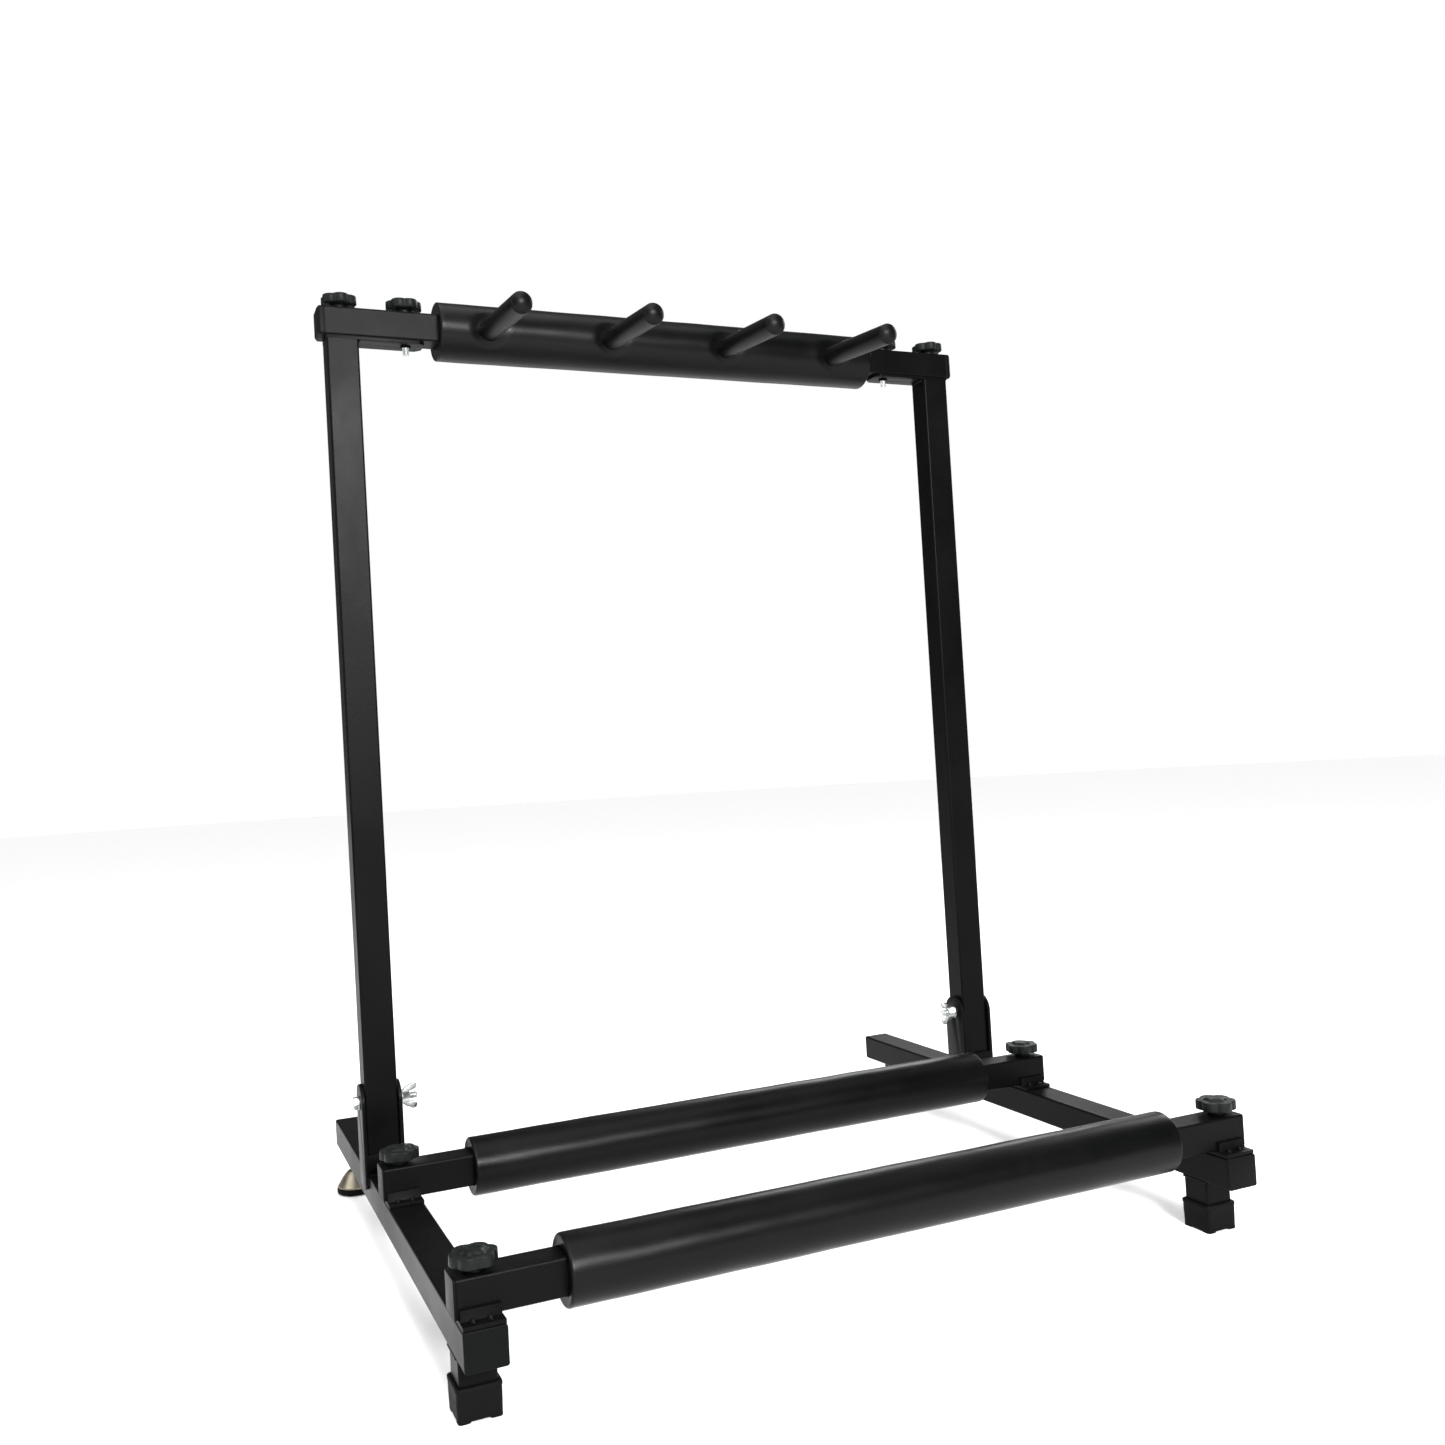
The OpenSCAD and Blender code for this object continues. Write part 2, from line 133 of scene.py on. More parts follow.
def object_coordinates(tree):
    return add_node(tree, "ShaderNodeTexCoord").outputs["Object"]


# %% Surface grain group
grain, g_in, g_out = new_group(
    "SurfaceGrain", {"Scale": 900.0, "Coarse Scale": 160.0}, {"Height": "NodeSocketFloat"})
fine = add_node(grain, "ShaderNodeTexNoise", {"Detail": 3.0, "Roughness": 0.6})
coarse = add_node(grain, "ShaderNodeTexNoise", {"Detail": 1.0, "Roughness": 0.5})
both = add_node(grain, "ShaderNodeMath", operation="MULTIPLY_ADD")
both.inputs[1].default_value = 0.6
where = object_coordinates(grain)
grain.links.new(where, fine.inputs["Vector"])
grain.links.new(where, coarse.inputs["Vector"])
grain.links.new(g_in.outputs["Scale"], fine.inputs["Scale"])
grain.links.new(g_in.outputs["Coarse Scale"], coarse.inputs["Scale"])
grain.links.new(fine.outputs["Fac"], both.inputs[0])
grain.links.new(coarse.outputs["Fac"], both.inputs[2])
grain.links.new(both.outputs[0], g_out.inputs["Height"])

# %% Handling group
handling, h_in, h_out = new_group(
    "Handling", {"Scale": 9.0, "Low": 0.35, "High": 0.5},
    {"Mask": "NodeSocketFloat", "Roughness": "NodeSocketFloat"})
patches = add_node(handling, "ShaderNodeTexNoise", {
    "Detail": 4.0, "Roughness": 0.62, "Distortion": 0.4})
spread = add_node(handling, "ShaderNodeMapRange", {"From Min": 0.32, "From Max": 0.68})
rough = add_node(handling, "ShaderNodeMapRange")
handling.links.new(object_coordinates(handling), patches.inputs["Vector"])
handling.links.new(h_in.outputs["Scale"], patches.inputs["Scale"])
handling.links.new(patches.outputs["Fac"], spread.inputs["Value"])
handling.links.new(spread.outputs["Result"], rough.inputs["Value"])
handling.links.new(h_in.outputs["Low"], rough.inputs["To Min"])
handling.links.new(h_in.outputs["High"], rough.inputs["To Max"])
handling.links.new(spread.outputs["Result"], h_out.inputs["Mask"])
handling.links.new(rough.outputs["Result"], h_out.inputs["Roughness"])

# %% Dust group
dust, d_in, d_out = new_group(
    "Dust", {"Amount": 0.12, "Scale": 60.0}, {"Mask": "NodeSocketFloat"})
facing = add_node(dust, "ShaderNodeNewGeometry")
upward = add_node(dust, "ShaderNodeSeparateXYZ")
level = add_node(dust, "ShaderNodeMapRange", {"From Min": 0.55, "From Max": 1.0})
specks = add_node(dust, "ShaderNodeTexNoise", {"Detail": 5.0, "Roughness": 0.7})
thin = add_node(dust, "ShaderNodeMapRange", {"From Min": 0.45, "From Max": 0.75})
settle = add_node(dust, "ShaderNodeMath", operation="MULTIPLY")
amount = add_node(dust, "ShaderNodeMath", operation="MULTIPLY")
dust.links.new(facing.outputs["Normal"], upward.inputs["Vector"])
dust.links.new(upward.outputs["Z"], level.inputs["Value"])
dust.links.new(object_coordinates(dust), specks.inputs["Vector"])
dust.links.new(d_in.outputs["Scale"], specks.inputs["Scale"])
dust.links.new(specks.outputs["Fac"], thin.inputs["Value"])
dust.links.new(level.outputs["Result"], settle.inputs[0])
dust.links.new(thin.outputs["Result"], settle.inputs[1])
dust.links.new(settle.outputs[0], amount.inputs[0])
dust.links.new(d_in.outputs["Amount"], amount.inputs[1])
dust.links.new(amount.outputs[0], d_out.inputs["Mask"])
print("groups:", [g.name for g in bpy.data.node_groups])

# %% [markdown]
# The finishes themselves differ in colour, shine and grain, so one function wires the
# shared effects to a Principled shader and each finish gives its own numbers. A value
# that is the same all over, such as the specular level or the metalness, is set on the shader.

# %% Finish builder


FINISHES = {}


def finish(slot, dark, light, rough, grain_size, bump, dust_amount=0.0, patch=9.0, **shader):
    """A material whose colour runs from dark to light and whose roughness spans rough."""
    made = bpy.data.materials.new(f"{slot}_finish")
    FINISHES[slot] = made
    made.use_nodes = True
    tree = made.node_tree
    surface = tree.nodes["Principled BSDF"]
    for key, value in shader.items():
        surface.inputs[key.replace("_", " ")].default_value = value
    used = add_node(tree, "ShaderNodeGroup", node_tree=handling)
    for key, value in (("Scale", patch), ("Low", rough[0]), ("High", rough[1])):
        used.inputs[key].default_value = value
    tint = add_node(tree, "ShaderNodeMix", data_type="RGBA")
    tint.inputs["A"].default_value = (*dark, 1)
    tint.inputs["B"].default_value = (*light, 1)
    tree.links.new(used.outputs["Mask"], tint.inputs["Factor"])
    colour = tint.outputs["Result"]
    if dust_amount:
        lying = add_node(tree, "ShaderNodeGroup", node_tree=dust)
        lying.inputs["Amount"].default_value = dust_amount
        dusty = add_node(tree, "ShaderNodeMix", data_type="RGBA")
        dusty.inputs["B"].default_value = (0.25, 0.24, 0.22, 1)
        tree.links.new(lying.outputs["Mask"], dusty.inputs["Factor"])
        tree.links.new(colour, dusty.inputs["A"])
        colour = dusty.outputs["Result"]
    tree.links.new(colour, surface.inputs["Base Color"])
    tree.links.new(used.outputs["Roughness"], surface.inputs["Roughness"])
    relief = add_node(tree, "ShaderNodeGroup", node_tree=grain)
    relief.inputs["Scale"].default_value = grain_size[0]
    relief.inputs["Coarse Scale"].default_value = grain_size[1]
    raised = add_node(tree, "ShaderNodeBump", {"Strength": bump, "Distance": 0.0004})
    tree.links.new(relief.outputs["Height"], raised.inputs["Height"])
    tree.links.new(raised.outputs["Normal"], surface.inputs["Normal"])


# %% Finishes
finish(
    "black_steel", (0.0013, 0.0012, 0.0013), (0.0022, 0.0021, 0.0022), (0.34, 0.44),
    (1500.0, 420.0), 0.14, dust_amount=0.008, Specular_IOR_Level=0.052)
finish(
    "black_plastic", (0.0015, 0.0017, 0.0016), (0.0025, 0.0028, 0.0027), (0.38, 0.48),
    (2200.0, 500.0), 0.12, dust_amount=0.008, Specular_IOR_Level=0.045)
finish(
    "black_rubber", (0.0015, 0.0016, 0.0015), (0.0028, 0.0029, 0.0028), (0.55, 0.7),
    (1300.0, 260.0), 0.22, dust_amount=0.012, Specular_IOR_Level=0.06)
finish(
    "black_foam", (0.001, 0.0011, 0.0012), (0.0018, 0.0019, 0.002), (0.29, 0.36),
    (2600.0, 700.0), 0.16, dust_amount=0.003, patch=14.0, Specular_IOR_Level=0.095)
finish(
    "peg_sleeve", (0.0015, 0.0015, 0.0016), (0.0028, 0.0028, 0.003), (0.34, 0.44),
    (2200.0, 300.0), 0.10, patch=20.0, Specular_IOR_Level=0.09)
finish(
    "knob_plastic", (0.0028, 0.004, 0.0036), (0.005, 0.0068, 0.0062), (0.42, 0.55),
    (1900.0, 600.0), 0.2, dust_amount=0.015, patch=40.0, Specular_IOR_Level=0.11)
finish(
    "foot_nickel", (0.19, 0.17, 0.13), (0.29, 0.26, 0.2), (0.36, 0.5),
    (700.0, 120.0), 0.05, patch=60.0, Metallic=1.0)
finish(
    "zinc_steel", (0.42, 0.45, 0.45), (0.6, 0.62, 0.61), (0.22, 0.38),
    (1600.0, 300.0), 0.06, patch=90.0, Metallic=1.0)
print("finishes:", sorted(FINISHES))

# %% [markdown]
# The straight tubes are right as the CAD drew them, with their rolled corners, so they
# only get their finish. The slot that the record gives each node says which one.

# %% Finish the CAD nodes
for part in frame["record"]["subparts"]:
    node = frame["nodes"][part["node"]]
    node.data.materials.clear()
    node.data.materials.append(FINISHES[part["material_slot"]])
print(len(frame["nodes"]), "nodes finished")

# %% [markdown]
# New pieces start as a bmesh. One helper turns a finished bmesh into an object that
# rides on its body and stands for its CAD node. Most parts here are turned, moulded or
# extruded, so two more helpers cover nearly all of them: one spins an outline about an
# axis, and one grows a form ring by ring, where a ring may be round, square, hexagonal
# or lobed.

# %% Make a piece


def make_piece(name, bm, slot, body, *stands_for, crease=35):
    """Turns a bmesh in metres, in place, into a piece that stands for CAD nodes."""
    bmesh.ops.remove_doubles(bm, verts=bm.verts, dist=2e-6)
    bmesh.ops.recalc_face_normals(bm, faces=bm.faces)
    for face in bm.faces:
        face.smooth = True
    for edge in bm.edges:
        if len(edge.link_faces) == 2:
            edge.smooth = edge.calc_face_angle() < math.radians(crease)
    mesh = bpy.data.meshes.new(name)
    bm.to_mesh(mesh)
    bm.free()
    mesh.materials.append(FINISHES[slot])
    piece = bpy.data.objects.new(name, mesh)
    bpy.context.scene.collection.objects.link(piece)
    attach(piece, body)
    if stands_for:
        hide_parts(*stands_for)
    return piece


def put(bm, part, matrix):
    """Adds a part's bmesh to bm, placed by matrix."""
    part.transform(matrix)
    carrier = bpy.data.meshes.new("carrier")
    part.to_mesh(carrier)
    part.free()
    bm.from_mesh(carrier)
    bpy.data.meshes.remove(carrier)


# %% Spin an outline


def lathe(outline, steps=64):
    """Spins an outline of (radius, height) points, in millimetres, about the Z axis."""
    bm = bmesh.new()
    verts = [bm.verts.new(mm(r, 0, z)) for r, z in outline]
    edges = [bm.edges.new(pair) for pair in zip(verts, verts[1:])]
    bmesh.ops.spin(
        bm, geom=verts + edges, cent=(0, 0, 0), axis=(0, 0, 1),
        angle=math.tau, steps=steps, use_merge=True)
    bmesh.ops.remove_doubles(bm, verts=bm.verts, dist=1e-7)
    bmesh.ops.recalc_face_normals(bm, faces=bm.faces)
    return bm


def ring_lathe(outline, steps=64):
    """As lathe, for an outline that closes on itself clear of the axis."""
    return lathe([*outline, outline[0]], steps)


def arc(centre, radius, start, end, points=5):
    """Points of (radius, height) along an arc, angles in degrees from +r towards +z."""
    turns = [math.radians(start + (end - start) * i / (points - 1)) for i in range(points)]
    return [(centre[0] + radius * math.cos(a), centre[1] + radius * math.sin(a)) for a in turns]


# %% Grow a form ring by ring


def grow(segments, rings, hollow=False):
    """A closed form from rings: each is a function of angle that gives (radius, height).

    The first and last rings are capped, or joined to each other if the form is hollow.
    """
    bm = bmesh.new()
    bmesh.ops.create_circle(bm, segments=segments, radius=1)
    first = bm.edges[:]
    edges = first
    for number, ring in enumerate(rings):
        if number:
            grown = bmesh.ops.extrude_edge_only(bm, edges=edges)["geom"]
            edges = [e for e in grown if isinstance(e, bmesh.types.BMEdge) and e.is_boundary]
        for vert in {v for e in edges for v in e.verts}:
            turn = math.atan2(vert.co.y, vert.co.x)
            radius, height = ring(turn)
            vert.co = mm(radius * math.cos(turn), radius * math.sin(turn), height)
    if hollow:
        bmesh.ops.bridge_loops(bm, edges=first + edges)
    else:
        bmesh.ops.contextual_create(bm, geom=first)
        bmesh.ops.contextual_create(bm, geom=edges)
    bmesh.ops.recalc_face_normals(bm, faces=bm.faces)
    return bm


def round_ring(radius, height):
    return lambda turn: (radius, height)


def square_edge(turn, half, corner):
    """Distance from the middle of a square with round corners to its edge."""
    across, along = sorted((abs(math.cos(turn)), abs(math.sin(turn))))
    core = half - corner
    if half * across / along <= core:
        return half / along
    reach = core * (across + along)
    return reach + math.sqrt(reach**2 - 2 * core**2 + corner**2)


def square_ring(half, height, corner=1.8):
    return lambda turn: (square_edge(turn, half, corner), height)


# %% [markdown]
# Plugs, caps and pads start from a cube. Its upright edges take a large round and its
# rims a small one, so that each catches a thin line of light as a moulding does.

# %% Rounded boxes


def rounded_box(width, depth, height, round_r, edge_r=0.4):
    """A box on the XY plane with round upright corners and softened rims."""
    bm = bmesh.new()
    bmesh.ops.create_cube(bm, size=1, matrix=Matrix.Translation((0, 0, 0.5)))
    bmesh.ops.scale(bm, vec=mm(width, depth, height), verts=bm.verts)
    upright = [e for e in bm.edges if abs(e.verts[0].co.z - e.verts[1].co.z) > 1e-9]
    bmesh.ops.bevel(
        bm, geom=upright, offset=round_r * MM, segments=5, profile=0.5,
        affect="EDGES", material=-1)
    if edge_r:
        soften_rims(bm, edge_r)
    return bm


def soften_rims(bm, edge_r):
    """Rounds every level edge that is sharp."""
    rims = [e for e in bm.edges if abs(e.verts[0].co.z - e.verts[1].co.z) < 1e-9
            and e.calc_face_angle(0) > math.radians(20)]
    bmesh.ops.bevel(
        bm, geom=rims, offset=edge_r * MM, segments=3, profile=0.5,
        affect="EDGES", material=-1)


def upward(part_faces):
    """The face that looks straight up."""
    return max(part_faces, key=lambda f: (f.normal.z, f.calc_center_median().z))


def facing_x(point, way):
    """A matrix that stands a part's +Z axis along X, the way that way is signed."""
    return Matrix.Translation(point) @ Matrix.Rotation(way * math.pi / 2, 4, "Y")


def facing_y(point, way):
    """A matrix that stands a part's +Z axis along Y, the way that way is signed."""
    return Matrix.Translation(point) @ Matrix.Rotation(-way * math.pi / 2, 4, "X")


# %% [markdown]
# Pressed and cut steel never has a razor edge, because the powder coat rounds it. The
# plates and brackets could be modelled again, but the CAD already has their holes in
# the right place. So each is copied, its flat triangles are joined again into whole
# faces, and every corner is broken by a third of a millimetre.

# %% Softened steel


def softened(node, body, edge_r=0.35):
    """A copy of a CAD node with all its sharp edges broken."""
    bm = bmesh.new()
    bm.from_mesh(frame["nodes"][node].data)
    bmesh.ops.remove_doubles(bm, verts=bm.verts, dist=2e-6)
    bmesh.ops.dissolve_limit(
        bm, angle_limit=math.radians(1), verts=bm.verts, edges=bm.edges)
    sharp = [e for e in bm.edges if e.calc_face_angle(0) > math.radians(40)]
    bmesh.ops.bevel(
        bm, geom=sharp, offset=edge_r * MM, segments=2, profile=0.5,
        affect="EDGES", clamp_overlap=True, material=-1)
    return make_piece(f"{node}_steel", bm, "black_steel", body, node)


for side in SIDES:
    softened(f"hinge_bracket_{side}", "base")
    softened(f"top_plate_{side}", "upper_frame")
    for row in ("front", "rear"):
        softened(f"saddle_{row}_{side}", "base", 0.3)
print("plates softened")

# %% [markdown]
# Steel tubes are joined by welding, and the powder coat goes over the weld. A bead is a
# row of small overlapping ripples, so a thin rod whose radius rises and falls along its
# length, half sunk in the corner between two parts, is enough for it.

# %% Weld beads
RIPPLE = 2.4
BEAD_R = 1.5


def bead(bm, start, end):
    """A rippled bead between two points in metres."""
    length = (end - start).length / MM
    steps = round(length / RIPPLE * 6)

    def ring(step):
        along = length * step / steps
        swell = 0.16 * math.sin(math.tau * along / RIPPLE)
        ends = min(1, 0.35 + min(along, length - along) / 1.2)
        return round_ring((BEAD_R + swell) * ends, along)

    turn = (end - start).to_track_quat("Z", "Y").to_matrix().to_4x4()
    put(bm, grow(12, [ring(i) for i in range(steps + 1)]), Matrix.Translation(start) @ turn)


for side, way in SIDES.items():
    bm = bmesh.new()
    low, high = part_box(f"front_leg_{side}")
    seam = high.z - 0.4 * MM
    for y in (low.y, high.y):
        bead(bm, Vector((low.x, y, seam)), Vector((high.x, y, seam)))
    for x in (low.x, high.x):
        bead(bm, Vector((x, low.y, seam)), Vector((x, high.y, seam)))
    make_piece(f"leg_weld_{side}", bm, "black_steel", "base")

    bm = bmesh.new()
    low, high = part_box(f"upright_{side}")
    inner = high.x if way < 0 else low.x
    bead(bm, Vector((inner, low.y + 2 * MM, high.z)), Vector((inner, high.y - 2 * MM, high.z)))
    make_piece(f"plate_weld_{side}", bm, "black_steel", "upper_frame")

    bm = bmesh.new()
    low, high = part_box(f"hinge_bracket_{side}")
    tube_low, tube_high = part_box(f"base_tube_{side}")
    for y in (low.y, high.y):
        for x in (tube_low.x, tube_high.x):
            bead(bm, Vector((x, y, low.z + 5 * MM)), Vector((x, y, tube_high.z - 1 * MM)))
    bead(bm, Vector((tube_low.x, low.y, tube_high.z)), Vector((tube_high.x, low.y, tube_high.z)))
    make_piece(f"bracket_weld_{side}", bm, "black_steel", "base")

# %% [markdown]
# A clamping knob is one moulding: a round neck, a rim of six full lobes with narrow
# grooves between them, and a low dome in the middle. It could be a cylinder with
# smaller cylinders joined on, but their seams would show. Growing it from rings gives
# one skin, and as the outline of a ring is a mix of a circle and the lobed flower, the
# lobes can melt into the rounded edges and the dome.

# %% Knobs
KNOB_R = size("knob_front_left").x / 2
LOBE_R = 6.6
LOBE_AT = KNOB_R - LOBE_R
LOBES = 6
GROOVE_R = 12.6
NECK = 7.0
RIM_LOW = 4.0
RIM_TOP = 11.5


def flower(turn):
    """Distance from the knob's middle to its lobed edge, with rounded grooves."""
    span = math.tau / LOBES
    off = (turn + span / 2) % span - span / 2
    lobe = LOBE_AT * math.cos(off) + math.sqrt(LOBE_R**2 - (LOBE_AT * math.sin(off))**2)
    return (lobe**14 + GROOVE_R**14)**(1 / 14)


def knob_ring(height, inset, lobed=1.0, circle=GROOVE_R):
    """A ring of the knob: lobed is 1 on the full flower and 0 on a circle."""
    return lambda turn: (lobed * flower(turn) + (1 - lobed) * circle - inset, height)


def dome_ring(height, radius, ridge):
    """A ring of the dome, which reaches out a little towards each lobe."""
    return lambda turn: (radius * (1 + ridge * math.cos(LOBES * turn)), height)


def knob_form():
    neck = [round_ring(NECK - 0.4, 0), round_ring(NECK, 0.3), round_ring(NECK, 3.5),
            round_ring(NECK + 0.6, RIM_LOW)]
    rim = [knob_ring(RIM_LOW, 1.3, 0.9), knob_ring(RIM_LOW + 0.15, 0.5),
           knob_ring(RIM_LOW + 0.7, 0), knob_ring(RIM_TOP - 0.7, 0.1),
           knob_ring(RIM_TOP - 0.3, 0.22), knob_ring(RIM_TOP - 0.07, 0.5),
           knob_ring(RIM_TOP, 0.95), knob_ring(RIM_TOP - 0.05, 1.7, 0.95)]
    dome = [dome_ring(RIM_TOP - 0.3, 9.6, 0.10), dome_ring(RIM_TOP - 0.1, 8.9, 0.10),
            dome_ring(RIM_TOP + 0.6, 8.2, 0.09), dome_ring(RIM_TOP + 1.3, 7.4, 0.07),
            dome_ring(RIM_TOP + 1.8, 6.0, 0.04), round_ring(4.0, RIM_TOP + 2.0),
            round_ring(3.5, RIM_TOP + 1.85), round_ring(0.4, RIM_TOP + 1.8)]
    return grow(96, neck + rim + dome)


knob_names = sorted(name for name in frame["nodes"] if name.startswith("knob_"))
for number, name in enumerate(knob_names):
    low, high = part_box(name)
    seat = Vector(((low.x + high.x) / 2, (low.y + high.y) / 2, low.z))
    turned = Matrix.Rotation(math.radians(23 * number), 4, "Z")
    bm = knob_form()
    bm.transform(Matrix.Translation(seat) @ turned)
    make_piece(f"{name}_moulding", bm, "knob_plastic", name, name, crease=50)
print(len(knob_names), "knobs")

# %% [markdown]
# A screw thread is one groove that winds up a rod. A ring of the rod doesn't have to be
# round: if its radius dips once on the way round, and the dip moves on a little from one
# ring to the next, the dips line up into a true helix on a closed form.

# %% Threaded rods
THREAD_DEPTH = 0.62


def thread_ring(radius, pitch, depth, height):
    """A ring with a V-shaped dip that moves round as the height grows."""
    def ring(turn):
        along = (height / pitch - turn / math.tau) % 1
        return radius - depth * pitch * (1 - abs(2 * along - 1)), height
    return ring


def threaded(radius, pitch, length, tip=0.8):
    """Rings of a thread that starts at height 0 with a chamfered tip."""
    steps = round(length / pitch * 5)
    rings = [round_ring(radius - tip, 0)]
    for i in range(steps + 1):
        height = length * i / steps
        lead = min(1.0, height / tip)
        rings.append(thread_ring(
            radius - tip * (1 - lead), pitch, THREAD_DEPTH * lead, max(height, 0.05)))
    return rings


# %% Studs under the top plates
BOLT_R = size("stud_top_left").x / 2
STUD_THREAD = 12
top_studs = sorted(n for n in frame["nodes"] if n.startswith("stud_top"))
for name in top_studs:
    low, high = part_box(name)
    length = (high.z - low.z) / MM
    plain = [round_ring(BOLT_R, STUD_THREAD + 0.2), round_ring(BOLT_R, length)]
    bm = grow(32, threaded(BOLT_R, 1.0, STUD_THREAD) + plain)
    bm.transform(Matrix.Translation((middle(name).x, middle(name).y, low.z)))
    make_piece(f"{name}_screw", bm, "zinc_steel", name.replace("stud", "knob"), name, crease=60)
print("screws:", top_studs)

# %% [markdown]
# Each stud screws into a round nut that is pressed into the plate from below, so that
# it can't turn. Only its thin flange shows, as black as the plate and with a small
# chamfer.

# %% Nuts of the top plates
NUT_FLANGE_R = 4.5
NUT_FLANGE = 1.5
plate_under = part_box("top_plate_left")[0].z
bm = bmesh.new()
for name in top_studs:
    flange = ring_lathe([
        (BOLT_R + 0.05, 0.3), (BOLT_R + 0.35, 0), (NUT_FLANGE_R - 0.35, 0),
        (NUT_FLANGE_R, 0.35), (NUT_FLANGE_R, NUT_FLANGE), (BOLT_R + 0.05, NUT_FLANGE)], 48)
    put(bm, flange, Matrix.Translation(
        (middle(name).x, middle(name).y, plate_under - NUT_FLANGE * MM)))
make_piece("plate_nut_flanges", bm, "black_steel", "upper_frame", "plate_nuts")
print("nuts under", round(plate_under / MM, 1), "mm")

# %% [markdown]
# The hinge of each upright is a hexagon bolt. Its head is turned down at the corners
# after the hexagon is made, which leaves the curved edges that every bolt head has. As
# rings, that is the smaller of a hexagon and a growing circle.

# %% Hinge bolts
HEAD_ACROSS = 10.0
HEAD_H = 4.0
HINGE_THREAD = 24
WASHER_T = 1.2
WASHER_R = 6.0


def hexagon(turn, across):
    span = math.tau / 6
    return across / 2 / math.cos((turn + span / 2) % span - span / 2)


def head_ring(height, limit):
    return lambda turn: (min(hexagon(turn, HEAD_ACROSS), limit), height)


for side, way in SIDES.items():
    low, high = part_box(f"hinge_bolt_{side}")
    length = (high.x - low.x) / MM
    under = length - HEAD_H
    head = [head_ring(under, 5.0), head_ring(under + 0.25, 5.6), head_ring(under + 0.45, 6.0),
            head_ring(under + 3.2, 6.0), head_ring(under + 3.45, 5.6),
            head_ring(under + 3.7, 5.2), head_ring(length, 4.6), round_ring(3.6, length),
            round_ring(3.3, length - 0.25), round_ring(0.4, length - 0.3)]
    shank = [round_ring(BOLT_R, HINGE_THREAD + 0.2), round_ring(BOLT_R, under)]
    bm = grow(72, threaded(BOLT_R, 1.0, HINGE_THREAD) + shank + head)
    tip = Vector((low.x if way > 0 else high.x, hinge_mid[side].y, hinge_mid[side].z))
    bm.transform(facing_x(tip, way))
    make_piece(f"hinge_bolt_{side}_hex", bm, "zinc_steel", "base", f"hinge_bolt_{side}", crease=30)
print("bolt length", round(length, 1), "mm")

# %% Washers
bm = bmesh.new()
for side, way in SIDES.items():
    low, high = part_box(f"hinge_bracket_{side}")
    for x, out in ((low.x, -1), (high.x, 1)):
        washer = ring_lathe([
            (BOLT_R + 0.2, 0), (WASHER_R - 0.1, 0), (WASHER_R, 0.15), (WASHER_R, WASHER_T - 0.3),
            (WASHER_R - 0.3, WASHER_T), (BOLT_R + 0.35, WASHER_T), (BOLT_R + 0.2, WASHER_T - 0.2)])
        put(bm, washer, facing_x(Vector((x, hinge_mid[side].y, hinge_mid[side].z)), out))
make_piece("hinge_washer_set", bm, "zinc_steel", "base", "hinge_washers")
print("washers at the cheeks")

# %% [markdown]
# A wing nut is cast: a conical hub with two ears that thicken at their edges. The hub is
# spun. An ear is a flat outline, a run of points round its tip and two towards the hub,
# extruded to its thickness and then rounded all over like a casting.

# %% Wing nuts
EAR_T = 2.6
HUB_H = 7.0


def wing_ear(way):
    """One ear in the XZ plane, on the side that way is signed."""
    tip = arc((8.3, 10.7), 3.2, -55, 165, 12)
    outline = [(3.4, 5.9), (3.4, 0.7), (5.7, 1.0), (8.2, 4.0), *tip, (4.4, 8.6)]
    bm = bmesh.new()
    bm.faces.new([bm.verts.new(mm(way * x, -EAR_T / 2, z)) for x, z in outline])
    grown = bmesh.ops.extrude_face_region(bm, geom=bm.faces[:])["geom"]
    bmesh.ops.translate(
        bm, vec=mm(0, EAR_T, 0), verts=[g for g in grown if isinstance(g, bmesh.types.BMVert)])
    bmesh.ops.recalc_face_normals(bm, faces=bm.faces)
    rims = [e for e in bm.edges if abs(e.verts[0].co.y - e.verts[1].co.y) < 1e-9]
    bmesh.ops.bevel(
        bm, geom=rims, offset=0.8 * MM, segments=3, profile=0.5, affect="EDGES", material=-1)
    return bm


for side, way in SIDES.items():
    low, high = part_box(f"wing_nut_{side}")
    seat = Vector((low.x if way < 0 else high.x, hinge_mid[side].y, hinge_mid[side].z))
    bm = ring_lathe([
        (BOLT_R + 0.1, 0.4), (BOLT_R + 0.5, 0), (5.8, 0), (6.0, 0.3), (5.95, 1.0), (5.3, 1.9),
        (4.9, 6.2), (4.5, HUB_H - 0.1), (BOLT_R + 0.5, HUB_H), (BOLT_R + 0.1, HUB_H - 0.4)])
    for ear in (-1, 1):
        put(bm, wing_ear(ear), Matrix.Identity(4))
    bm.transform(facing_x(seat, -way))
    make_piece(f"wing_nut_{side}_casting", bm, "zinc_steel", f"wing_nut_{side}", f"wing_nut_{side}")
print("wing nuts, seat at x =", round(seat.x / MM, 1))

# %% [markdown]
# Foam sleeves are cut from long tubes and pushed over the square bars, so their ends
# are flat with a crisp edge and the foam hugs the bar. They are padded pieces, and a
# cloth simulation would balloon them. So each is grown from rings instead: up the cut
# end from the square bar, along the outside with a slight unevenness, and back down.

# %% Foam sleeves
BAR = size("top_bar").y
FOAM_EDGE = 1.8
DISH = 0.7


